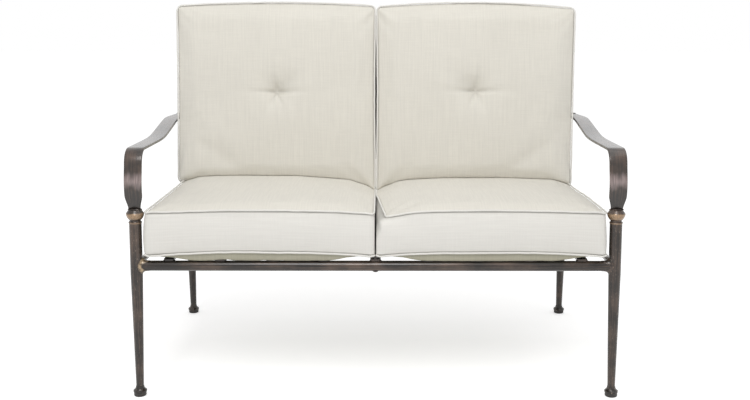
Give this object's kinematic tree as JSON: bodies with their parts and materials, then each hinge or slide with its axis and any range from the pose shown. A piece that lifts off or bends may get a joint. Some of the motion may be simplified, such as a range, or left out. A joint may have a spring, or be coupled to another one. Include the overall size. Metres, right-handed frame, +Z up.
{
  "type": "patio loveseat",
  "caption": "Outdoor loveseat with a bronze steel frame, flat strap arms, tapered round legs and loose boxed, piped seat and back cushions.",
  "frame": {"origin": "on the floor under the middle of the whole loveseat", "axes": "+X to the right seen from the front, the seat faces -Y, +Z up"},
  "size_m": [1.233, 0.7288, 0.9624],
  "materials": {
    "frame_finish": "satin",
    "deck_fastener": "satin",
    "glide_plastic": "matte",
    "cushion_fabric": "matte",
    "cushion_foam": "matte"
  },
  "bodies": {
    "frame": {"arm_left": "frame_finish", "arm_right": "frame_finish", "back_post_left": "frame_finish", "back_post_right": "frame_finish", "back_strap_1": "frame_finish", "back_strap_2": "frame_finish", "back_strap_3": "frame_finish", "back_strap_4": "frame_finish", "back_strap_5": "frame_finish", "back_strap_6": "frame_finish", "back_strap_7": "frame_finish", "back_strap_8": "frame_finish", "back_strap_9": "frame_finish", "collar_left": "frame_finish", "collar_right": "frame_finish", "front_deck_bolt": "deck_fastener", "front_deck_nut": "deck_fastener", "front_ferrule_left": "frame_finish", "front_ferrule_right": "frame_finish", "front_glide_left": "glide_plastic", "front_glide_right": "glide_plastic", "front_leg_left": "frame_finish", "front_leg_right": "frame_finish", "front_rail": "frame_finish", "lower_back_rail": "frame_finish", "post_cap_left": "frame_finish", "post_cap_right": "frame_finish", "rear_deck_bolt": "deck_fastener", "rear_deck_nut": "deck_fastener", "rear_ferrule_left": "frame_finish", "rear_ferrule_right": "frame_finish", "rear_glide_left": "glide_plastic", "rear_glide_right": "glide_plastic", "rear_rail": "frame_finish", "seat_strap_1": "frame_finish", "seat_strap_2": "frame_finish", "seat_strap_3": "frame_finish", "seat_strap_4": "frame_finish", "seat_strap_5": "frame_finish", "seat_strap_6": "frame_finish", "seat_strap_7": "frame_finish", "seat_strap_8": "frame_finish", "seat_strap_9": "frame_finish", "side_rail_left": "frame_finish", "side_rail_right": "frame_finish", "top_rail": "frame_finish"},
    "seat_cushion_left": {"seat_cover_left": "cushion_fabric", "seat_foam_left": "cushion_foam"},
    "back_cushion_left": {"back_cover_left": "cushion_fabric", "back_foam_left": "cushion_foam"},
    "seat_cushion_right": {"seat_cover_right": "cushion_fabric", "seat_foam_right": "cushion_foam"},
    "back_cushion_right": {"back_cover_right": "cushion_fabric", "back_foam_right": "cushion_foam"}
  },
  "joints": [
    {"name": "seat_cushion_left_pull", "type": "slide", "parent": "frame", "child": "seat_cushion_left", "axis": [0, -1, 0], "range_m": [0, 0.65]},
    {"name": "back_cushion_left_lift", "type": "slide", "parent": "frame", "child": "back_cushion_left", "axis": [0, 0.165, 0.9863], "range_m": [0, 0.5]},
    {"name": "seat_cushion_right_pull", "type": "slide", "parent": "frame", "child": "seat_cushion_right", "axis": [0, -1, 0], "range_m": [0, 0.65]},
    {"name": "back_cushion_right_lift", "type": "slide", "parent": "frame", "child": "back_cushion_right", "axis": [0, 0.165, 0.9863], "range_m": [0, 0.5]}
  ]
}
